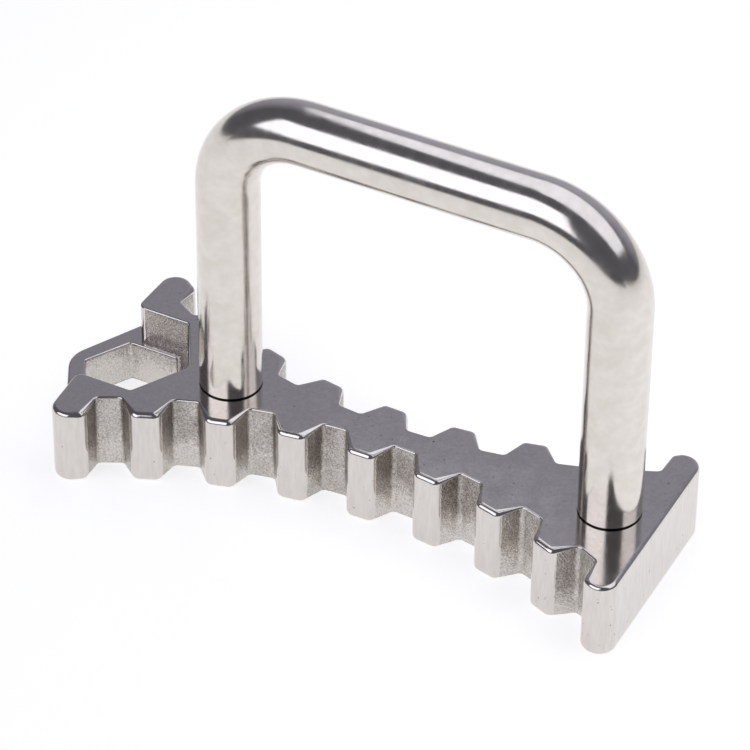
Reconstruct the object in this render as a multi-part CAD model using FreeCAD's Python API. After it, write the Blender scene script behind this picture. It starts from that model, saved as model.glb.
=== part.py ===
import FreeCAD, Part
import math
import os

# A hand tool that locks two camshaft sprockets together while a timing belt is changed.
# An hourglass block carries one concave row of teeth on each long side, and a bail of round
# bar stands on its top face. One end of the block has a stepped hexagon.
#
# Frame: +X runs along the block away from the hexagon end, +Y across it, +Z up to the bail.
# The origin is on the base face, at the middle of the waist. All sizes are in millimetres.

# Driving dimensions: the two rows of teeth
TOOTH_PITCH_ANGLE = 7.5        # degrees: one tooth of a 48-tooth sprocket
ROOT_RADIUS = 74.0             # groove floors, from the centre of the sprocket
TOOTH_DEPTH = 3.35
TOOTH_TIP_WIDTH = 3.3
TOOTH_FLANK_ANGLE = 25.0       # degrees, half of the 50 degree included angle
TEETH_EACH_SIDE_OF_MIDDLE = 4  # 9 teeth in a row
TIP_CORNER = 1.1               # corner radii in plan
ROOT_CORNER = 0.75
ROW_TURN = 1.24                # degrees: each row is turned so that the hexagon end is wider

# Driving dimensions: the block
WAIST_HALF_WIDTH = 1.75        # at the groove floors
END_X = 38.4                   # both end faces
END_CORNER = 2.2
THICKNESS = 10.9
EDGE_ROUND = 0.35              # polished rounding round the top and bottom faces

# Driving dimensions: the stepped hexagon
HEX_X = -35.2
LEDGE_HEIGHT = 6.0             # the pocket's floor, above the base
POCKET_ACROSS_FLATS = 15.0
POCKET_CORNER = 0.6
HOLE_ACROSS_FLATS = 11.7
HOLE_CORNER = 0.5
NOSE_TIP_X = -44.4             # where the nose's two sides would meet
NOSE_SIDE_ANGLE = 62.0         # degrees from the X axis
NOSE_TIP_ROUND = 4.0
NOSE_OVERLAP = 1.0             # how far the nose is let into the end face

# Driving dimensions: the bail handle
BAR_DIAMETER = 8.0
LEG_X = (-20.6, 31.8)
HANDLE_HEIGHT = 42.0           # the bar's axis, above the top face
BEND_RADIUS = 10.9             # of the bar's axis
FOOT_CHAMFER = 0.4

# Driving dimensions: the two M4 socket-head screws that hold the bail from beneath
SCREW_DIAMETER = 4.0
SCREW_HEAD_DIAMETER = 7.0
SCREW_HEAD_HEIGHT = 4.0
SCREW_LENGTH = 16.0
SCREW_SOCKET_FLATS = 3.0
SCREW_SOCKET_DEPTH = 2.0
SCREW_CHAMFER = 0.35
COUNTERBORE_DIAMETER = 8.0
COUNTERBORE_DEPTH = 4.4
CLEARANCE_HOLE_DIAMETER = 4.5
THREAD_CLEARANCE = 0.05        # radial, between the plain shank and the bar's plain hole
BLIND_HOLE_SPARE = 1.0         # hole left beyond the screw's end

HEX_ASPECT = math.sqrt(3.0)    # across flats over side length of a regular hexagon


def vector(x, y, z=0.0):
    return FreeCAD.Vector(x, y, z)


def rounded_wire(corners):
    """A closed wire through (point, radius) corners. A radius of 0 leaves a sharp corner."""
    arcs = []
    count = len(corners)
    for index, (point, radius) in enumerate(corners):
        before = (corners[index - 1][0] - point).normalize()
        after = (corners[(index + 1) % count][0] - point).normalize()
        half_angle = before.getAngle(after) / 2.0
        reach = radius / math.tan(half_angle)
        bisector = (before + after).normalize()
        middle = point + bisector * (radius / math.sin(half_angle) - radius)
        arcs.append((point + before * reach, middle, point + after * reach))
    edges = []
    for index, (start, middle, end) in enumerate(arcs):
        if corners[index][1] > 0:
            edges.append(Part.Arc(start, middle, end).toShape())
        edges.append(Part.LineSegment(end, arcs[(index + 1) % count][0]).toShape())
    return Part.Wire(edges)


def prism(corners, bottom, height):
    """A straight prism on a rounded outline."""
    face = Part.Face(rounded_wire(corners))
    face.translate(vector(0, 0, bottom))
    return face.extrude(vector(0, 0, height))


def hexagon(centre_x, across_flats, corner):
    """Corners of a hexagon with two flats along X, centred on the block's middle line."""
    side = across_flats / HEX_ASPECT
    corners = []
    for index in range(6):
        angle = math.radians(60.0 * index)
        point = vector(centre_x + side * math.cos(angle), side * math.sin(angle))
        corners.append((point, corner))
    return corners


def row_point(radius, angle):
    """A point of the -Y row, from its radius and its angle about the sprocket's axis."""
    centre_y = -(ROOT_RADIUS + WAIST_HALF_WIDTH)
    x = radius * math.sin(angle)
    y = centre_y + radius * math.cos(angle)
    turn = math.radians(ROW_TURN)
    return vector(x * math.cos(turn) - y * math.sin(turn), x * math.sin(turn) + y * math.cos(turn))


def row_of_teeth():
    """Corners of the -Y side from the hexagon end to the plain end, without the block's ends."""
    tip_radius = ROOT_RADIUS - TOOTH_DEPTH
    tip_half = TOOTH_TIP_WIDTH / 2.0
    root_half = tip_half + TOOTH_DEPTH * math.tan(math.radians(TOOTH_FLANK_ANGLE))
    tip_angle = math.atan(tip_half / tip_radius)
    root_angle = math.atan(root_half / ROOT_RADIUS)
    last = TEETH_EACH_SIDE_OF_MIDDLE
    corners = []
    for tooth in range(-last, last + 1):
        middle = math.radians(TOOTH_PITCH_ANGLE) * tooth
        if tooth > -last:
            corners.append((row_point(ROOT_RADIUS, middle - root_angle), ROOT_CORNER))
            corners.append((row_point(tip_radius, middle - tip_angle), TIP_CORNER))
        if tooth < last:
            corners.append((row_point(tip_radius, middle + tip_angle), TIP_CORNER))
            corners.append((row_point(ROOT_RADIUS, middle + root_angle), ROOT_CORNER))
    return corners


def end_corner(neighbour, direction, end_x):
    """Where the last tooth's tip land, running on along a direction, meets an end face."""
    travel = (end_x - neighbour.x) / direction.x
    return neighbour + direction * travel


def block_outline():
    """The hourglass, counter-clockwise, with a straight face at each end."""
    row = row_of_teeth()
    slope = math.radians(TOOTH_PITCH_ANGLE * TEETH_EACH_SIDE_OF_MIDDLE)
    turn = math.radians(ROW_TURN)
    left_direction = vector(-math.cos(slope + turn), -math.sin(slope + turn))
    right_direction = vector(math.cos(turn - slope), math.sin(turn - slope))
    left = end_corner(row[0][0], left_direction, -END_X)
    right = end_corner(row[-1][0], right_direction, END_X)
    near_side = [(left, END_CORNER)] + row + [(right, END_CORNER)]
    far_side = [(vector(point.x, -point.y), radius) for point, radius in reversed(near_side)]
    return near_side + far_side


def nose_outline():
    """The tab round the hexagon hole: two sloping sides that meet in a rounded tip."""
    root_x = NOSE_OVERLAP - END_X
    reach = (-END_X - NOSE_TIP_X) * math.tan(math.radians(NOSE_SIDE_ANGLE))
    return [
        (vector(NOSE_TIP_X, 0.0), NOSE_TIP_ROUND),
        (vector(-END_X, -reach), 0.0),
        (vector(root_x, -reach), 0.0),
        (vector(root_x, reach), 0.0),
        (vector(-END_X, reach), 0.0),
    ]


def pocket_outline():
    """The upper hexagon, run out through the end face."""
    corners = hexagon(HEX_X, POCKET_ACROSS_FLATS, POCKET_CORNER)
    half = POCKET_ACROSS_FLATS / 2.0
    outside_x = NOSE_TIP_X - END_CORNER
    closed_part = [corners[0], corners[1]]
    open_part = [(vector(outside_x, half), 0.0), (vector(outside_x, -half), 0.0)]
    return closed_part + open_part + [corners[5]]


def flat_outline_edges(solid, height):
    """Edges that lie in one level plane."""
    found = []
    for edge in solid.Edges:
        box = edge.BoundBox
        if abs(box.ZMin - height) < 1e-6 and abs(box.ZMax - height) < 1e-6:
            found.append(edge)
    return found


def screw_hole(x):
    """The stepped hole for one screw, open at the base."""
    bore = Part.makeCylinder(CLEARANCE_HOLE_DIAMETER / 2.0, THICKNESS, vector(x, 0, 0))
    head_room = Part.makeCylinder(COUNTERBORE_DIAMETER / 2.0, COUNTERBORE_DEPTH, vector(x, 0, 0))
    return bore.fuse(head_room)


def toothed_block():
    hourglass = prism(block_outline(), 0.0, THICKNESS)
    rims = flat_outline_edges(hourglass, THICKNESS) + flat_outline_edges(hourglass, 0.0)
    hourglass = hourglass.makeFillet(EDGE_ROUND, rims)
    pocket = prism(pocket_outline(), LEDGE_HEIGHT, THICKNESS - LEDGE_HEIGHT)
    nose = prism(nose_outline(), 0.0, LEDGE_HEIGHT)
    hole = prism(hexagon(HEX_X, HOLE_ACROSS_FLATS, HOLE_CORNER), 0.0, THICKNESS)
    block = hourglass.cut(pocket).fuse(nose).removeSplitter()
    block = block.cut(hole)
    for x in LEG_X:
        block = block.cut(screw_hole(x))
    return block


def bail_handle():
    """A U of round bar with flat, chamfered feet and a blind hole up each leg."""
    left, right = LEG_X
    top = THICKNESS + HANDLE_HEIGHT
    shoulder = top - BEND_RADIUS
    lean = BEND_RADIUS * (1.0 - math.sqrt(0.5))
    points = {
        "left_foot": vector(left, 0, THICKNESS),
        "left_bend": vector(left, 0, shoulder),
        "left_middle": vector(left + lean, 0, top - lean),
        "left_top": vector(left + BEND_RADIUS, 0, top),
        "right_top": vector(right - BEND_RADIUS, 0, top),
        "right_middle": vector(right - lean, 0, top - lean),
        "right_bend": vector(right, 0, shoulder),
        "right_foot": vector(right, 0, THICKNESS),
    }
    path = Part.Wire([
        Part.LineSegment(points["left_foot"], points["left_bend"]).toShape(),
        Part.Arc(points["left_bend"], points["left_middle"], points["left_top"]).toShape(),
        Part.LineSegment(points["left_top"], points["right_top"]).toShape(),
        Part.Arc(points["right_top"], points["right_middle"], points["right_bend"]).toShape(),
        Part.LineSegment(points["right_bend"], points["right_foot"]).toShape(),
    ])
    section = Part.Wire(Part.makeCircle(BAR_DIAMETER / 2.0, points["left_foot"], vector(0, 0, 1)))
    bar = path.makePipeShell([section], True, False)
    bar = bar.makeChamfer(FOOT_CHAMFER, flat_outline_edges(bar, THICKNESS))
    grip = SCREW_LENGTH + COUNTERBORE_DEPTH - THICKNESS
    for x in LEG_X:
        hole = Part.makeCylinder(
            SCREW_DIAMETER / 2.0 + THREAD_CLEARANCE, grip + BLIND_HOLE_SPARE, vector(x, 0, THICKNESS))
        bar = bar.cut(hole)
    return bar


def fixing_screw(x):
    """A socket-head screw, head down, seated on the shoulder of its counterbore."""
    seat = COUNTERBORE_DEPTH
    bottom = seat - SCREW_HEAD_HEIGHT
    head = Part.makeCylinder(SCREW_HEAD_DIAMETER / 2.0, SCREW_HEAD_HEIGHT, vector(x, 0, bottom))
    head = head.makeChamfer(SCREW_CHAMFER, flat_outline_edges(head, bottom))
    shank = Part.makeCylinder(SCREW_DIAMETER / 2.0, SCREW_LENGTH, vector(x, 0, seat))
    shank = shank.makeChamfer(SCREW_CHAMFER, flat_outline_edges(shank, seat + SCREW_LENGTH))
    socket = prism(hexagon(x, SCREW_SOCKET_FLATS, 0.0), bottom, SCREW_SOCKET_DEPTH)
    return head.fuse(shank).removeSplitter().cut(socket)


def main():
    os.makedirs("parts", exist_ok=True)
    pieces = {
        "toothed_block": toothed_block(),
        "bail_handle": bail_handle(),
        "left_handle_screw": fixing_screw(LEG_X[0]),
        "right_handle_screw": fixing_screw(LEG_X[1]),
    }
    for name, shape in pieces.items():
        shape.exportStep(os.path.join("parts", name + ".step"))
        box = shape.BoundBox
        print(name, "solids", len(shape.Solids), "valid", shape.isValid(),
              "volume", round(shape.Volume, 1), "z", round(box.ZMin, 2), round(box.ZMax, 2))


main()
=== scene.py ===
import math

import bmesh
import bpy
from mathutils import Matrix, Vector, noise
from mathutils.geometry import delaunay_2d_cdt


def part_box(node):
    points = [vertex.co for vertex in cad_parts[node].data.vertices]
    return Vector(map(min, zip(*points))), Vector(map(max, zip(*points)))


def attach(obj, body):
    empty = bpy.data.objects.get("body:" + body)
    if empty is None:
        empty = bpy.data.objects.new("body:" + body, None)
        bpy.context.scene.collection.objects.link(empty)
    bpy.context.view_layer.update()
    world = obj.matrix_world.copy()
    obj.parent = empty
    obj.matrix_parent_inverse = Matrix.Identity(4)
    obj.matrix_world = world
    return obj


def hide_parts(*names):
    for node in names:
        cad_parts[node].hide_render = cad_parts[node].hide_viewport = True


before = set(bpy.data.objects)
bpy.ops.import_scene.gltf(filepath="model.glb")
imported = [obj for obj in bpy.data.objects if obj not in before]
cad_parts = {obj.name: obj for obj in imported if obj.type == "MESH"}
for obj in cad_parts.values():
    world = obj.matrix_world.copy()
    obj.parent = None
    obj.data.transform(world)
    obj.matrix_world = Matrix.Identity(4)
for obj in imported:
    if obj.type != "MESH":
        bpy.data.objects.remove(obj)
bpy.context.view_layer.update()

# Lengths below are in millimetres, angles in degrees; MM turns them into metres.
MM = 0.001

# ---------------------------------------------------------------- the block, as designed
BLOCK_HIGH = Vector(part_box("toothed_block")[1]) / MM
BLOCK_TOP = BLOCK_HIGH.z
END_X = BLOCK_HIGH.x
TOOTH_PITCH_ANGLE = 7.5
ROOT_RADIUS = 74.0
TOOTH_DEPTH = 3.35
TOOTH_TIP_WIDTH = 3.3
TOOTH_FLANK_ANGLE = 25.0
TEETH_EACH_SIDE_OF_MIDDLE = 4
WAIST_HALF_WIDTH = 1.75
ROW_TURN = 1.24
HEX_X = -35.2
HEX_ASPECT = math.sqrt(3.0)
LEDGE_HEIGHT = 6.0
POCKET_FLATS = 15.0
HOLE_FLATS = 11.7
NOSE_TIP_X = -44.4
NOSE_SIDE_ANGLE = 62.0
COUNTERBORE_RADIUS = 4.0
COUNTERBORE_DEPTH = 4.4

# Corner radii in plan, and how far the polish rounds each top edge
TIP_CORNER, TIP_EDGE = 1.1, 0.75
ROOT_CORNER, ROOT_EDGE = 0.75, 0.25
END_CORNER, END_EDGE = 2.2, 0.6
END_FACE_EDGE = 0.4
MOUTH_CORNER = 1.1
POCKET_CORNER, POCKET_EDGE = 0.6, 0.22
HOLE_CORNER, HOLE_EDGE = 0.5, 0.2
NOSE_TIP_CORNER, NOSE_EDGE = 4.0, 0.35
BOTTOM_EDGE = 0.3              # the least rounding of an edge of the underside

# The polish that each vertex carries. Between two of these the block's skin changes raggedly.
# The lowest value marks the hexagon's walls for painted light that brightens them.
# On the bar, the middle value marks the dark ring at the feet: a painted contact shadow and painted
# reflection of the gap
POLISHED, CAST_SKIN_AND_FOOT_SHADE, PAINTED_LIGHT_CAST = 1, 0, -1

# How finely the meshes are cut
LAND_STEP = 0.3
CORNER_STEP = 9.0
LOWER_LEVELS = 12
UPPER_LEVELS = 10
EDGE_SEGMENTS = 7
SHARP_ANGLE = 42
LARGE_FACES_FIRST = 100        # how strongly large faces rule the shading of their neighbours
NOSE_EDGE_RUN_IN = 1.0
COINCIDENT = 1e-4              # samples closer than this are one
SAME_PLACE = 1e-6              # a sample this close to a corner stands on it
NEAREST = 1e-9                 # the triangulation keeps points apart down to this
WHOLE_HULL = 0                 # the triangulation's kind: it fills the outline's convex hull
CIRCLE_SIDES = 16
HEXAGON_SIDES = 6

# The as-cast skin's gentle unevenness
CAST_SWELL = 1.6
CAST_SWELL_HEIGHT = 0.05
FINER_SWELL = 2.3              # how many times finer the second swell is
FINER_SWELL_SHARE = 0.5

# ---------------------------------------------------------------- the bail, from its own box
BAIL_LOW, BAIL_HIGH = (Vector(corner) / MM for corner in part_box("bail_handle"))
BAR_RADIUS = (BAIL_HIGH.y - BAIL_LOW.y) / 2
LEG_X = (BAIL_LOW.x + BAR_RADIUS, BAIL_HIGH.x - BAR_RADIUS)
BAR_Z = BAIL_HIGH.z - BAR_RADIUS
BEND_RADIUS = 10.9
FOOT_CHAMFER = 0.2
# The foot rings found with this margin take the painted contact shadow
FOOT_SHADE_MARGIN = 1e-3        # how near to the chamfer's ends a ring of vertices counts as on them
BORE_RADIUS = 2.25

BAR_STEP = 0.8
BEND_PIECES = 40
BAR_SEGMENTS = 80

# The metal, as the fraction of light that it gives back
STEEL = (0.69, 0.665, 0.625, 1)
POLISHED_DULL, POLISHED_CLEAR = (0.64, 0.60, 0.565, 1), (0.695, 0.655, 0.62, 1)
PIT = (0.2, 0.17, 0.15, 1)
CAST_DARK, CAST_BRIGHT = (0.20, 0.172, 0.152, 1), (0.66, 0.625, 0.59, 1)
BAR_DULL, BAR_CLEAR = (0.675, 0.63, 0.57, 1), (0.735, 0.695, 0.64, 1)
# Painted contact shadow and painted reflection of the gap where each foot of the bar meets the block
PAINTED_FOOT_SHADE = (0.02, 0.018, 0.017, 1)
SCREW_STEEL = (0.5, 0.49, 0.47, 1)
BLACK = (0, 0, 0, 1)
WHITE = (1, 1, 1, 1)
PAINTED_FLOOR_REFLECTION_FULL, PAINTED_FLOOR_REFLECTION_ENDS = 3.5, 5.0       # painted reflection of the floor: the cast skin is painted brighter near the underside
PAINTED_FLOOR_REFLECTION_WANDERS = 1.0                           # how far that height wanders up and down

# ---------------------------------------------------------------- the camera and the studio
CAMERA_YAW, CAMERA_PITCH, CAMERA_ROLL = -26.9, 39.43, 0.6
CAMERA_AIM = (-5.09, 9.36, BLOCK_TOP)
CAMERA_DISTANCE = 551.5
CAMERA_LENS = 210.4
CAMERA_SENSOR = 36
CAMERA_NEAREST = 0.01          # metres
FLOOR_HALF = 1500
FLOOR_Z = -0.02                # a hair below the block's base
FLOOR_GLOW = 0.70
FLOOR_COLOUR = (0.6, 0.6, 0.6, 1)
SOFTBOX_TINT = (0.94, 0.96, 1.08, 1)
BACKDROP = (0.9, 0.9, 0.9, 1)
ROOM_SHADE = (0.105, 0.105, 0.125, 1)       # what the metal sees in front and beside it
ROOM_HAZE = (0.42, 0.43, 0.51, 1)           # and behind
HAZE_AXIS = (-0.1, 0.995, 0)
HAZE_STARTS, HAZE_FULL = 0.35, 0.95         # along that axis
FRONT_SOFTBOX_AZIMUTH = -158
FRONT_SOFTBOX_DISTANCE = 600
FRONT_SOFTBOX_GLOW = 1.7
FRONT_SOFTBOX = ((-370, 120), (60, 114), (444, 270), (510, 900), (-480, 900))
TOP_SOFTBOX = ((-66, 80), (-82, 140), (286, 110), (286, -70), (0, -8), (-45, 30))
TOP_SOFTBOX_HEIGHT = 166
TOP_SOFTBOX_GLOW = 1.2
SKIRT_HALF = 500                            # a dim low card in front, as the tips reflect it
SKIRT_Y = -272
SKIRT_HEIGHT = 60
SKIRT_GLOW = 0.1


# ================================================================ outlines in plan

def row_point(radius, angle, side):
    """A point of one row of teeth; side is -1 for the -Y row and +1 for the +Y row."""
    x = radius * math.sin(angle)
    y = radius * math.cos(angle) - ROOT_RADIUS - WAIST_HALF_WIDTH
    turn = math.radians(ROW_TURN)
    turned_x = x * math.cos(turn) - y * math.sin(turn)
    turned_y = x * math.sin(turn) + y * math.cos(turn)
    return Vector((turned_x, -side * turned_y))


def row_of_teeth(side):
    """Corners of one side from the hexagon end to the plain end: (point, radius, edge, polish)."""
    tip_radius = ROOT_RADIUS - TOOTH_DEPTH
    tip_half = TOOTH_TIP_WIDTH / 2
    root_half = tip_half + TOOTH_DEPTH * math.tan(math.radians(TOOTH_FLANK_ANGLE))
    tip_angle = math.atan(tip_half / tip_radius)
    root_angle = math.atan(root_half / ROOT_RADIUS)
    last = TEETH_EACH_SIDE_OF_MIDDLE
    corners = []
    for tooth in range(-last, last + 1):
        middle = math.radians(TOOTH_PITCH_ANGLE) * tooth
        tip = (TIP_CORNER, TIP_EDGE, POLISHED)
        root = (ROOT_CORNER, ROOT_EDGE, CAST_SKIN_AND_FOOT_SHADE)
        if tooth > -last:
            corners.append((row_point(ROOT_RADIUS, middle - root_angle, side), *root))
            corners.append((row_point(tip_radius, middle - tip_angle, side), *tip))
        if tooth < last:
            corners.append((row_point(tip_radius, middle + tip_angle, side), *tip))
            corners.append((row_point(ROOT_RADIUS, middle + root_angle, side), *root))
    return corners


def end_corner(neighbour, slope, end_x, side):
    """The corner where an end tooth's tip land runs out to an end face."""
    travel = (end_x - neighbour.x) / math.cos(slope)
    corner = Vector((end_x, neighbour.y + side * abs(travel) * math.sin(slope)))
    return (corner, END_CORNER, END_EDGE, POLISHED)


def side_outline(side):
    """One long side of the block with its two end corners, from -X to +X."""
    row = row_of_teeth(side)
    slope = math.radians(TOOTH_PITCH_ANGLE * TEETH_EACH_SIDE_OF_MIDDLE)
    turn = math.radians(ROW_TURN)
    left = end_corner(row[0][0], slope + turn, -END_X, side)
    right = end_corner(row[-1][0], slope - turn, END_X, side)
    return [left] + row + [right]


def hexagon(flats, radius, edge):
    """Corners of a hexagon with two flats along X, counter-clockwise from the +X corner."""
    reach = flats / HEX_ASPECT
    corners = []
    for index in range(HEXAGON_SIDES):
        angle = math.tau * index / HEXAGON_SIDES
        point = Vector((HEX_X + reach * math.cos(angle), reach * math.sin(angle)))
        # The hexagon's walls carry the mark for painted light that brightens their cast skin
        corners.append((point, radius, edge, PAINTED_LIGHT_CAST))
    return corners


def circle(x, radius, edge):
    """Corners of a many-sided outline whose rounding makes it a circle."""
    corners = []
    outer = radius / math.cos(math.pi / CIRCLE_SIDES)
    for index in range(CIRCLE_SIDES):
        angle = math.tau * index / CIRCLE_SIDES
        point = Vector((x + outer * math.cos(angle), outer * math.sin(angle)))
        corners.append((point, radius, edge, POLISHED))
    return corners


def corner_arc(corner, before, after):
    """Samples of one rounded corner between its two neighbours; a sharp one has no normal."""
    point, radius, edge, polish = corner
    back = (before[0] - point).normalized()
    on = (after[0] - point).normalized()
    half_angle = back.angle(on) / 2
    way = 1 if on.cross(back) > 0 else -1
    bend = math.pi - 2 * half_angle
    centre = point + (back + on).normalized() * (radius / math.sin(half_angle))
    start = point + back * (radius / math.tan(half_angle))
    pieces = max(1, round(math.degrees(bend) / CORNER_STEP)) if radius else 0
    arc = []
    for piece in range(pieces + 1):
        turned = start - centre
        turned.rotate(Matrix.Rotation(bend * piece / max(pieces, 1) * way, 2))
        normal = turned.normalized() * way if radius else None
        arc.append((centre + turned, normal, edge, polish))
    return arc


def rounded(corners):
    """Samples of a rounded outline: (point, outward normal, edge, polish), anticlockwise round metal.

    Straight runs are cut into steps and corners into arcs. Along a run the edge blends from one
    corner's to the next one's, and the polish is the lesser of the two."""
    neighbours = zip(corners, corners[-1:] + corners, corners[1:] + corners[:1])
    arcs = [corner_arc(corner, before, after) for corner, before, after in neighbours]
    samples = []
    for arc, next_arc in zip(arcs, arcs[1:] + arcs[:1]):
        end, _, edge, polish = arc[-1]
        start, _, next_edge, next_polish = next_arc[0]
        run = start - end
        normal = Vector((run.y, -run.x)).normalized()
        samples += [(point, own or normal, *rest) for point, own, *rest in arc]
        pieces = max(1, round(run.length / LAND_STEP))
        for piece in range(1, pieces):
            share = piece / pieces
            blend = edge + (next_edge - edge) * share
            samples.append((end + run * share, normal, blend, min(polish, next_polish)))
    return [sample for index, sample in enumerate(samples)
            if (sample[0] - samples[index - 1][0]).length > COINCIDENT]


def standing_on(samples, point):
    """Where a given corner stands in a list of samples."""
    return next(index for index, sample in enumerate(samples)
                if (sample[0] - point).length < SAME_PLACE)


# ================================================================ meshes

def between(low, high, count):
    """The levels strictly between two heights that cut the way into equal parts."""
    return [low + (high - low) * index / count for index in range(1, count)]


def fine_steps(start, end):
    """Coordinates strictly between two along the bar, about one bar step apart."""
    return between(start, end, max(1, round(abs(end - start) / BAR_STEP)))


def encloses(outline, point):
    """Whether a closed outline goes round a point."""
    inside = False
    for start, end in zip(outline, outline[1:] + outline[:1]):
        if (start.y > point.y) != (end.y > point.y):
            share = (point.y - start.y) / (end.y - start.y)
            if start.x + share * (end.x - start.x) > point.x:
                inside = not inside
    return inside


def quarter_turn(segments):
    """(cosine, sine) from 0 to 90 degrees."""
    return [(math.cos(math.pi / 2 * k / segments), math.sin(math.pi / 2 * k / segments))
            for k in range(segments + 1)]


class Shell:
    """A mesh in the making: columns of vertices joined side by side, with flat caps between rings."""

    def __init__(self):
        self.bm = bmesh.new()
        self.polish = self.bm.verts.layers.float.new("polish")
        self.caps = set()

    def vertex(self, x, y, z, polish=POLISHED):
        """A new vertex, given in millimetres."""
        made = self.bm.verts.new(Vector((x, y, z)) * MM)
        made[self.polish] = polish
        return made

    def lower_edge(self, sample, z, edge):
        """The rounding that leads up from a flat underside to a wall, wall end included."""
        point, normal, _, polish = sample
        return [self.vertex(*(point - normal * edge * (1 - c)), z + edge * (1 - s), max(polish, s))
                for c, s in reversed(quarter_turn(EDGE_SEGMENTS))]

    def upper_edge(self, sample, z, edge):
        """The rounding that leads up from a wall to a flat top, wall end included."""
        point, normal, _, polish = sample
        made = []
        for c, s in quarter_turn(EDGE_SEGMENTS):
            place = point - normal * edge * (1 - c)
            made.append(self.vertex(*place, z - edge * (1 - s), max(polish, min(POLISHED, 3 * s))))
        return made

    def wall(self, sample, low, high, parts):
        """Levels of a wall between two heights, slightly uneven where the skin is as cast."""
        point, normal, _, polish = sample
        made = []
        for z in between(low, high, parts):
            place = Vector((*point, z))
            fine = noise.noise(place / CAST_SWELL * FINER_SWELL)
            swell = noise.noise(place / CAST_SWELL) + FINER_SWELL_SHARE * fine
            moved = point + normal * (CAST_SWELL_HEIGHT * swell * (POLISHED - max(polish, CAST_SKIN_AND_FOOT_SHADE)))
            made.append(self.vertex(*moved, z, polish))
        return made

    def skin(self, columns, closed=True):
        """Quads between neighbouring columns; coincident vertices make triangles."""
        pairs = list(zip(columns, columns[1:] + columns[:1]))
        for left, right in pairs if closed else pairs[:-1]:
            for level in range(len(left) - 1):
                ring = [left[level], right[level], right[level + 1], left[level + 1]]
                distinct = list(dict.fromkeys(ring))
                if len(distinct) > 2:
                    self.bm.faces.new(distinct)

    def cap(self, *rings):
        """A flat face inside the first ring and outside the others."""
        outlines, vertices, rim = [], [], set()
        for ring in rings:
            outline = [vertex.co.xy / MM for vertex in ring]
            area = sum(start.cross(end) for start, end in zip(outline, outline[1:] + outline[:1]))
            metal_on_left = (area > 0) == (ring is rings[0])
            first = len(vertices)
            for index in range(len(ring)):
                side = (first + index, first + (index + 1) % len(ring))
                rim.add(side if metal_on_left else side[::-1])
            vertices += ring
            outlines.append(outline)
        places = [place for outline in outlines for place in outline]
        _, _, triangles, sources, _, _ = delaunay_2d_cdt(places, list(rim), [], WHOLE_HULL, NEAREST)
        for triangle in triangles:
            corners = [sources[corner][0] for corner in triangle]
            sides = set(zip(corners, corners[1:] + corners[:1]))
            if sides & rim:
                inside = True
            elif {side[::-1] for side in sides} & rim:
                inside = False
            else:
                middle = sum((places[corner] for corner in corners), Vector((0, 0))) / 3
                inside = sum(encloses(outline, middle) for outline in outlines) == 1
            if inside:
                self.caps.add(self.bm.faces.new([vertices[corner] for corner in corners]))

    def finish(self, name, material):
        """The mesh as an object, smooth where it is rounded and sharp where it is cut."""
        bmesh.ops.recalc_face_normals(self.bm, faces=self.bm.faces)
        for edge in self.bm.edges:
            cap_sides = sum(face in self.caps for face in edge.link_faces)
            edge.smooth = cap_sides != 1 and edge.calc_face_angle(0) < math.radians(SHARP_ANGLE)
        for face in self.bm.faces:
            face.smooth = True
        mesh = bpy.data.meshes.new(name)
        self.bm.to_mesh(mesh)
        self.bm.free()
        mesh.materials.append(material)
        made = bpy.data.objects.new(name, mesh)
        bpy.context.collection.objects.link(made)
        weighted = made.modifiers.new("flat faces stay flat", "WEIGHTED_NORMAL")
        weighted.keep_sharp = True
        weighted.weight = LARGE_FACES_FIRST
        return made


def toothed_block(material):
    """The whole block: two layers that share the hourglass wall, with the nose below."""
    shell = Shell()
    upper, lower, joints = block_outlines()
    far_joint, near_joint = (standing_on(upper, joint) for joint in joints)
    nose = lower[far_joint + 1:standing_on(lower, joints[1])]
    shared = list(range(near_joint, len(upper))) + list(range(far_joint + 1))

    lower_columns, upper_columns = {}, {}
    for index in shared:
        sample = upper[index]
        ledge = shell.vertex(*sample[0], LEDGE_HEIGHT, sample[3])
        foot = shell.lower_edge(sample, 0, max(sample[2], BOTTOM_EDGE))
        wall = shell.wall(sample, TIP_EDGE, LEDGE_HEIGHT, LOWER_LEVELS)
        lower_columns[index] = foot + wall + [ledge]
        upper_columns[index] = upper_column(shell, sample, ledge)
    for index in range(far_joint + 1, near_joint):
        ledge = shell.vertex(*upper[index][0], LEDGE_HEIGHT, upper[index][3])
        upper_columns[index] = upper_column(shell, upper[index], ledge)
    nose_columns, rims = nose_walls(shell, nose, abs(joints[0].y))
    joined = [lower_columns[joint] for joint in (far_joint, near_joint)]

    shell.skin([upper_columns[index] for index in range(len(upper))])
    whole_lower = [lower_columns[index] for index in shared] + nose_columns
    shell.skin(whole_lower)
    joint_rims = [[column[-1]] * (EDGE_SEGMENTS + 1) for column in joined]
    shell.skin([joint_rims[0]] + rims + [joint_rims[1]], closed=False)
    hole_columns = hexagon_hole(shell)

    top_rings = [[upper_columns[index][-1] for index in range(len(upper))]]
    bottom_rings = [[column[0] for column in whole_lower], [column[0] for column in hole_columns]]
    for x in LEG_X:
        mouth_ring, bore_ring = screw_hole(shell, x)
        bottom_rings.append(mouth_ring)
        top_rings.append(bore_ring)
    ledge_ring = [joined[0][-1]] + [rim[-1] for rim in rims] + [joined[1][-1]]
    ledge_ring += [upper_columns[index][0] for index in range(near_joint - 1, far_joint, -1)]
    shell.cap(*top_rings)
    shell.cap(*bottom_rings)
    shell.cap(ledge_ring, [column[-1] for column in hole_columns])
    return shell.finish("toothed_block_metal", material)


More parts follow.
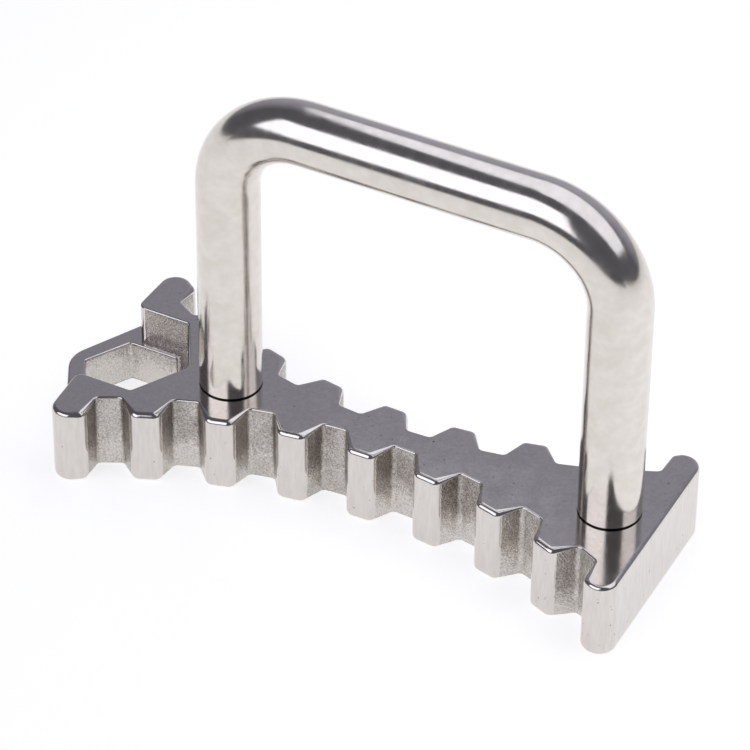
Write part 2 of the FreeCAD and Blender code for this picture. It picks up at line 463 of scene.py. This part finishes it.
def block_outlines():
    """The upper layer's outline, the lower layer's, and where the nose meets the end face."""
    reach = (-END_X - NOSE_TIP_X) * math.tan(math.radians(NOSE_SIDE_ANGLE))
    mouth = POCKET_FLATS / 2
    pocket = hexagon(POCKET_FLATS, POCKET_CORNER, POCKET_EDGE)
    far, near = [(Vector((-END_X, side * reach)), 0, END_FACE_EDGE, POLISHED) for side in (1, -1)]
    hourglass = side_outline(-1) + side_outline(1)[::-1]
    opening = [
        (Vector((-END_X, mouth)), MOUTH_CORNER, POCKET_EDGE, POLISHED),
        pocket[1], pocket[0], pocket[-1],
        (Vector((-END_X, -mouth)), MOUTH_CORNER, POCKET_EDGE, POLISHED),
    ]
    nose = [(Vector((NOSE_TIP_X, 0)), NOSE_TIP_CORNER, NOSE_EDGE, POLISHED)]
    upper = rounded(hourglass + [far] + opening + [near])
    lower = rounded(hourglass + [far] + nose + [near])
    return upper, lower, (far[0], near[0])


def upper_column(shell, sample, ledge):
    """The wall of the upper layer at one sample, from a given vertex at ledge height to the top."""
    head = shell.upper_edge(sample, BLOCK_TOP, sample[2])
    return [ledge] + shell.wall(sample, LEDGE_HEIGHT, BLOCK_TOP - TIP_EDGE, UPPER_LEVELS) + head


def nose_walls(shell, samples, reach):
    """The nose's columns and its top rims, whose rounding runs in from nothing at the end face."""
    columns, rims = [], []
    for sample in samples:
        run_in = min(1, (reach - abs(sample[0].y)) / NOSE_EDGE_RUN_IN)
        rim = shell.upper_edge(sample, LEDGE_HEIGHT, NOSE_EDGE * run_in)
        foot = shell.lower_edge(sample, 0, BOTTOM_EDGE)
        wall = shell.wall(sample, BOTTOM_EDGE, LEDGE_HEIGHT - NOSE_EDGE, LOWER_LEVELS)
        columns.append(foot + wall + [rim[0]])
        rims.append(rim)
    return columns, rims


def hexagon_hole(shell):
    """The walls of the hexagon hole, from the underside to the ledge."""
    columns = []
    for sample in rounded(hexagon(HOLE_FLATS, HOLE_CORNER, HOLE_EDGE)[::-1]):
        foot = shell.lower_edge(sample, 0, HOLE_EDGE)
        wall = shell.wall(sample, HOLE_EDGE, LEDGE_HEIGHT - HOLE_EDGE, LOWER_LEVELS)
        columns.append(foot + wall + shell.upper_edge(sample, LEDGE_HEIGHT, HOLE_EDGE))
    shell.skin(columns)
    return columns


def screw_hole(shell, x):
    """The counterbore and clearance bore of one screw: its mouth below and its end above."""
    wide, narrow = [], []
    for sample in rounded(circle(x, COUNTERBORE_RADIUS, HOLE_EDGE)[::-1]):
        mouth = shell.lower_edge(sample, 0, HOLE_EDGE)
        wide.append(mouth + [shell.vertex(*sample[0], COUNTERBORE_DEPTH)])
    for sample in rounded(circle(x, BORE_RADIUS, HOLE_EDGE)[::-1]):
        narrow.append([shell.vertex(*sample[0], z) for z in (COUNTERBORE_DEPTH, BLOCK_TOP)])
    shell.skin(wide)
    shell.skin(narrow)
    shell.cap([column[-1] for column in wide], [column[0] for column in narrow])
    return [column[0] for column in wide], [column[-1] for column in narrow]


def bail_path():
    """Points and directions along the bar's axis, foot to foot, in the XZ plane."""
    left, right = LEG_X
    shoulder = BAR_Z - BEND_RADIUS
    up, down = Vector((0, 0, 1)), Vector((0, 0, -1))
    path = [(Vector((left, 0, z)), up) for z in [BLOCK_TOP] + fine_steps(BLOCK_TOP, shoulder)]
    for centre_x, start_angle in ((left + BEND_RADIUS, 180), (right - BEND_RADIUS, 90)):
        if start_angle == 90:
            straight = fine_steps(left + BEND_RADIUS, right - BEND_RADIUS)
            path += [(Vector((x, 0, BAR_Z)), Vector((1, 0, 0))) for x in straight]
        for piece in range(BEND_PIECES + 1):
            angle = math.radians(start_angle - 90 * piece / BEND_PIECES)
            arm = Vector((math.cos(angle), 0, math.sin(angle)))
            along = Vector((math.sin(angle), 0, -math.cos(angle)))
            path.append((Vector((centre_x, 0, shoulder)) + arm * BEND_RADIUS, along))
    path += [(Vector((right, 0, z)), down) for z in fine_steps(shoulder, BLOCK_TOP) + [BLOCK_TOP]]
    return path


def bail_handle(material):
    """The bent bar: a ring at every step of the path, with chamfered feet."""
    shell = Shell()
    path = bail_path()
    up, down = path[0][1], path[-1][1]
    shrunk = BAR_RADIUS - FOOT_CHAMFER
    first = [(path[0][0], up, shrunk), (path[0][0] + up * FOOT_CHAMFER, up, BAR_RADIUS)]
    last = [(path[-1][0] - down * FOOT_CHAMFER, down, BAR_RADIUS), (path[-1][0], down, shrunk)]
    middle = [(place, along, BAR_RADIUS) for place, along in path[1:-1]]
    rings = []
    across = Vector((0, 1, 0))
    for place, along, radius in first + middle + last:
        side = along.cross(across)
        ring = []
        height = place.z - BLOCK_TOP
        # The rings on the chamfer's ends carry the mark for the painted contact shadow and painted
        # reflection at the feet
        in_foot_shade = min(abs(height), abs(height - FOOT_CHAMFER)) <= FOOT_SHADE_MARGIN
        for index in range(BAR_SEGMENTS):
            angle = math.tau * index / BAR_SEGMENTS
            reach = (across * math.cos(angle) + side * math.sin(angle)) * radius
            ring.append(shell.vertex(*(place + reach), CAST_SKIN_AND_FOOT_SHADE if in_foot_shade else POLISHED))
        rings.append(ring)
    shell.skin(rings, closed=False)
    for ring, next_ring in zip(rings, rings[1:]):
        shell.bm.faces.new((ring[-1], ring[0], next_ring[0], next_ring[-1]))
    shell.cap(rings[0])
    shell.cap(rings[-1])
    return shell.finish("bail_handle_bar", material)


# ================================================================ materials

class Nodes:
    """A metallic material and short ways to add nodes to it."""

    def __init__(self, name, colour, roughness):
        self.material = bpy.data.materials.new(name)
        self.material.use_nodes = True
        self.tree = self.material.node_tree
        self.shader = self.tree.nodes["Principled BSDF"]
        self.shader.inputs["Metallic"].default_value = 1
        self.shader.inputs["Base Color"].default_value = colour
        self.shader.inputs["Roughness"].default_value = roughness
        self.place = self.add("ShaderNodeTexCoord").outputs["Object"]

    def add(self, kind, **settings):
        """A new node with the given settings."""
        node = self.tree.nodes.new(kind)
        for name, value in settings.items():
            setattr(node, name, value)
        return node

    def link(self, source, target):
        """Joins an output to an input."""
        self.tree.links.new(source, target)

    def height(self):
        """How far a place is above the block's base, in metres."""
        split = self.add("ShaderNodeSeparateXYZ")
        self.link(self.place, split.inputs["Vector"])
        return split.outputs["Z"]

    def noise(self, size_mm, detail=3, roughness=0.55, stretch=(1, 1, 1)):
        """Noise whose features are about size_mm across; stretch lengthens them along an axis."""
        mapping = self.add("ShaderNodeMapping")
        mapping.inputs["Scale"].default_value = [1 / (size_mm * MM * s) for s in stretch]
        self.link(self.place, mapping.inputs["Vector"])
        texture = self.add("ShaderNodeTexNoise")
        texture.inputs["Scale"].default_value = 1
        texture.inputs["Detail"].default_value = detail
        texture.inputs["Roughness"].default_value = roughness
        self.link(mapping.outputs["Vector"], texture.inputs["Vector"])
        return texture.outputs["Fac"]

    def spread(self, value, from_low, from_high, low, high):
        """Maps a value from one range to another, and keeps it inside."""
        node = self.add("ShaderNodeMapRange", clamp=True)
        node.inputs["From Min"].default_value = from_low
        node.inputs["From Max"].default_value = from_high
        node.inputs["To Min"].default_value = low
        node.inputs["To Max"].default_value = high
        self.link(value, node.inputs["Value"])
        return node.outputs["Result"]

    def math(self, operation, first, second):
        """A sum, difference or product of two values, each a number or an output."""
        node = self.add("ShaderNodeMath", operation=operation)
        for socket, value in zip(node.inputs, (first, second)):
            if isinstance(value, (int, float)):
                socket.default_value = value
            else:
                self.link(value, socket)
        return node.outputs["Value"]

    def blend(self, share, first, second):
        """The first colour or number where share is 0, the second where it is 1."""
        is_colour = any(isinstance(value, tuple) or getattr(value, "type", "") == "RGBA"
                        for value in (first, second))
        node = self.add("ShaderNodeMix", data_type="RGBA" if is_colour else "FLOAT")
        sockets = [socket for socket in node.inputs if socket.enabled and socket.name in ("A", "B")]
        for socket, value in zip(sockets, (first, second)):
            if isinstance(value, (int, float, tuple)):
                socket.default_value = value
            else:
                self.link(value, socket)
        factor = next(socket for socket in node.inputs if socket.enabled and socket.name == "Factor")
        self.link(share, factor)
        return next(socket for socket in node.outputs if socket.enabled)

    def bump(self, height, depth_mm, below=None):
        """Bumps of a height map, whose full range is depth_mm deep, on top of other bumps."""
        node = self.add("ShaderNodeBump")
        node.inputs["Distance"].default_value = depth_mm * MM
        self.link(height, node.inputs["Height"])
        if below:
            self.link(below, node.inputs["Normal"])
        return node.outputs["Normal"]


def block_metal():
    """Cast steel: polished on top, on the tips and at the ends, sandy where the polish missed. The
    sandy skin carries a painted reflection of the floor low down, and painted light on the hexagon's
    walls.
    """
    n = Nodes("polished_cast_steel", STEEL, 0.2)
    polish = n.add("ShaderNodeAttribute", attribute_name="polish").outputs["Fac"]
    ragged = n.math("ADD", polish, n.spread(n.noise(0.5), 0.3, 0.7, -0.25, 0.25))
    shine = n.spread(ragged, 0.35, 0.65, 0, 1)
    sand = n.noise(0.22, detail=2, roughness=0.7)
    lumps = n.noise(0.6, detail=2)
    patches = n.spread(n.noise(5.0, detail=1), 0.4, 0.6, 0, 0.3)
    # Painted reflection of the floor: the cast skin is painted brighter near the underside, up to a
    # ragged height
    wander = n.spread(lumps, 0.3, 0.7, -PAINTED_FLOOR_REFLECTION_WANDERS * MM, PAINTED_FLOOR_REFLECTION_WANDERS * MM)
    floor_reflection_height = n.math("ADD", n.height(), wander)
    foot = n.spread(floor_reflection_height, PAINTED_FLOOR_REFLECTION_FULL * MM, PAINTED_FLOOR_REFLECTION_ENDS * MM, 0.3, 0)
    # Painted light: the hexagon's walls are painted brighter
    painted_hexagon_light = n.spread(polish, -0.6, -0.1, 0.3, 0)
    cast_share = n.spread(sand, 0.35, 0.62, 0, 0.55)
    for brighter in (patches, foot, painted_hexagon_light):
        cast_share = n.math("ADD", cast_share, brighter)
    cast_colour = n.blend(cast_share, CAST_DARK, CAST_BRIGHT)
    cloudy = n.spread(n.noise(0.5, detail=4, stretch=(1, 1, 6)), 0.35, 0.68, 0, 1)
    clear = n.blend(cloudy, POLISHED_DULL, POLISHED_CLEAR)
    pits = n.spread(n.noise(0.5, detail=1), 0.74, 0.8, 0, 1)
    polished_colour = n.blend(pits, clear, PIT)
    n.link(n.blend(shine, cast_colour, polished_colour), n.shader.inputs["Base Color"])
    smears = n.spread(n.noise(3.0, detail=4), 0.35, 0.7, 0.11, 0.17)
    cast_roughness = n.spread(lumps, 0.3, 0.7, 0.14, 0.24)
    n.link(n.blend(shine, cast_roughness, smears), n.shader.inputs["Roughness"])
    relief = n.math("ADD", sand, n.math("MULTIPLY", lumps, 0.8))
    cast = n.bump(n.math("MULTIPLY", relief, n.math("SUBTRACT", 1.0, shine)), 0.08)
    waves = n.bump(n.noise(2.5, detail=2), 0.006, below=cast)
    scratches = n.noise(0.12, detail=2, stretch=(1, 26, 1))
    n.link(n.bump(scratches, 0.0008, below=waves), n.shader.inputs["Normal"])
    return n.material


def bar_metal():
    """Mirror-polished round bar with a faint unevenness and, at each foot, a dark ring of painted
    contact shadow and painted reflection.
    """
    n = Nodes("polished_bar_steel", STEEL, 0.1)
    cloudy = n.spread(n.noise(1.6, detail=5), 0.35, 0.68, 0, 1)
    outside_foot_shade = n.add("ShaderNodeAttribute", attribute_name="polish").outputs["Fac"]
    bare = n.blend(cloudy, BAR_DULL, BAR_CLEAR)
    # Painted contact shadow and painted reflection: the foot rings are painted nearly black
    colour = n.blend(n.spread(outside_foot_shade, 0.01, 0.08, 0, 1), PAINTED_FOOT_SHADE, bare)
    n.link(colour, n.shader.inputs["Base Color"])
    n.link(n.spread(n.noise(2.2, detail=4), 0.35, 0.7, 0.13, 0.21), n.shader.inputs["Roughness"])
    waves = n.bump(n.noise(3.5, detail=2), 0.010)
    n.link(n.bump(n.noise(0.22, detail=3), 0.003, below=waves), n.shader.inputs["Normal"])
    return n.material


def screw_metal():
    """Plain fastener steel with turning marks."""
    n = Nodes("screw_steel", SCREW_STEEL, 0.3)
    n.link(n.spread(n.noise(0.8, detail=4), 0.3, 0.7, 0.22, 0.42), n.shader.inputs["Roughness"])
    n.link(n.bump(n.noise(0.25, detail=3), 0.01), n.shader.inputs["Normal"])
    return n.material


# ================================================================ the studio

def flat_material(name, colour, glow, tint=WHITE):
    """A matt material that also gives off light."""
    material = bpy.data.materials.new(name)
    material.use_nodes = True
    shader = material.node_tree.nodes["Principled BSDF"]
    shader.inputs["Base Color"].default_value = colour
    shader.inputs["Roughness"].default_value = 1
    shader.inputs["Specular IOR Level"].default_value = 0
    shader.inputs["Emission Color"].default_value = tint
    shader.inputs["Emission Strength"].default_value = glow
    return material


def flat_sheet(name, corners, material):
    """A flat studio piece, with its corners in millimetres."""
    mesh = bpy.data.meshes.new(name)
    mesh.from_pydata([Vector(corner) * MM for corner in corners], [], [range(len(corners))])
    mesh.materials.append(material)
    made = bpy.data.objects.new(name, mesh)
    bpy.context.collection.objects.link(made)
    return made


def floor():
    """A plain pale floor, wide enough to fill the view."""
    signs = ((-1, -1), (1, -1), (1, 1), (-1, 1))
    corners = [(x * FLOOR_HALF, y * FLOOR_HALF, FLOOR_Z) for x, y in signs]
    flat_sheet("floor", corners, flat_material("floor_paper", FLOOR_COLOUR, FLOOR_GLOW))


def light_card(name, corners, glow):
    """A flat light or shade, seen only in reflections."""
    made = flat_sheet(name, corners, flat_material(name, BLACK, glow, SOFTBOX_TINT))
    made.visible_camera = False
    made.visible_shadow = False


def facing(azimuth, distance, corners):
    """Places on an upright plane that faces the bar from an azimuth (0 behind, 90 to the right).

    Corners are (distance along the plane, height above the bar)."""
    turn = math.radians(azimuth)
    out = Vector((math.sin(turn), math.cos(turn), 0))
    across = Vector((math.cos(turn), -math.sin(turn), 0))
    return [out * distance + across * side + Vector((0, 0, BAR_Z + height))
            for side, height in corners]


def camera():
    """The view from the front right and above, through a long lens."""
    yaw, pitch, roll = (math.radians(angle) for angle in (CAMERA_YAW, CAMERA_PITCH, CAMERA_ROLL))
    look = Vector((math.sin(yaw) * math.cos(pitch), math.cos(yaw) * math.cos(pitch), -math.sin(pitch)))
    right = Vector((math.cos(yaw), -math.sin(yaw), 0))
    up = right.cross(look)
    rolled_right = right * math.cos(roll) + up * math.sin(roll)
    rolled_up = up * math.cos(roll) - right * math.sin(roll)
    place = Vector(CAMERA_AIM) - look * CAMERA_DISTANCE
    turn = Matrix((rolled_right, rolled_up, -look)).transposed().to_4x4()
    made = bpy.data.objects.new("camera", bpy.data.cameras.new("camera"))
    made.data.lens = CAMERA_LENS
    made.data.sensor_width = CAMERA_SENSOR
    made.data.clip_start = CAMERA_NEAREST
    made.matrix_world = Matrix.Translation(place * MM) @ turn
    bpy.context.collection.objects.link(made)
    bpy.context.scene.camera = made


def colour_mix(tree):
    """A colour mix node in a tree: its factor, its two colours and its result."""
    node = tree.nodes.new("ShaderNodeMix")
    node.data_type = "RGBA"
    first, second = [socket for socket in node.inputs if socket.enabled and socket.name in ("A", "B")]
    result = next(socket for socket in node.outputs if socket.enabled)
    return node.inputs["Factor"], first, second, result


def room():
    """What the metal sees beyond the lights: dark, but hazy behind. The camera sees a backdrop."""
    world = bpy.data.worlds.new("room")
    world.use_nodes = True
    tree = world.node_tree
    background = tree.nodes["Background"]
    place = tree.nodes.new("ShaderNodeTexCoord")
    toward = tree.nodes.new("ShaderNodeVectorMath")
    toward.operation = "DOT_PRODUCT"
    toward.inputs[1].default_value = HAZE_AXIS
    ramp = tree.nodes.new("ShaderNodeMapRange")
    ramp.inputs["From Min"].default_value = HAZE_STARTS
    ramp.inputs["From Max"].default_value = HAZE_FULL
    haze_share, shade, haze, surroundings = colour_mix(tree)
    shade.default_value = ROOM_SHADE
    haze.default_value = ROOM_HAZE
    camera_share, reflected, backdrop, seen = colour_mix(tree)
    backdrop.default_value = BACKDROP
    path = tree.nodes.new("ShaderNodeLightPath")
    tree.links.new(place.outputs["Generated"], toward.inputs[0])
    tree.links.new(toward.outputs["Value"], ramp.inputs["Value"])
    tree.links.new(ramp.outputs["Result"], haze_share)
    tree.links.new(surroundings, reflected)
    tree.links.new(path.outputs["Is Camera Ray"], camera_share)
    tree.links.new(seen, background.inputs["Color"])
    bpy.context.scene.world = world


def lights():
    """Two softboxes, whose reflections are the bright bands on the metal, and the low card."""
    front = facing(FRONT_SOFTBOX_AZIMUTH, FRONT_SOFTBOX_DISTANCE, FRONT_SOFTBOX)
    light_card("front_softbox", front, FRONT_SOFTBOX_GLOW)
    top = [(x, y, TOP_SOFTBOX_HEIGHT) for x, y in TOP_SOFTBOX]
    light_card("top_softbox", top, TOP_SOFTBOX_GLOW)
    signs = ((-1, 0), (1, 0), (1, 1), (-1, 1))
    skirt = [(x * SKIRT_HALF, SKIRT_Y, z * SKIRT_HEIGHT) for x, z in signs]
    light_card("front_skirt", skirt, SKIRT_GLOW)


def main():
    camera()
    floor()
    room()
    lights()
    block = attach(toothed_block(block_metal()), "root")
    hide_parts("toothed_block")
    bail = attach(bail_handle(bar_metal()), "root")
    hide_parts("bail_handle")
    screw_material = screw_metal()
    for name in ("left_handle_screw", "right_handle_screw"):
        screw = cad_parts[name]
        screw.data.materials.clear()
        screw.data.materials.append(screw_material)
    bpy.context.scene.view_settings.view_transform = "Standard"


main()
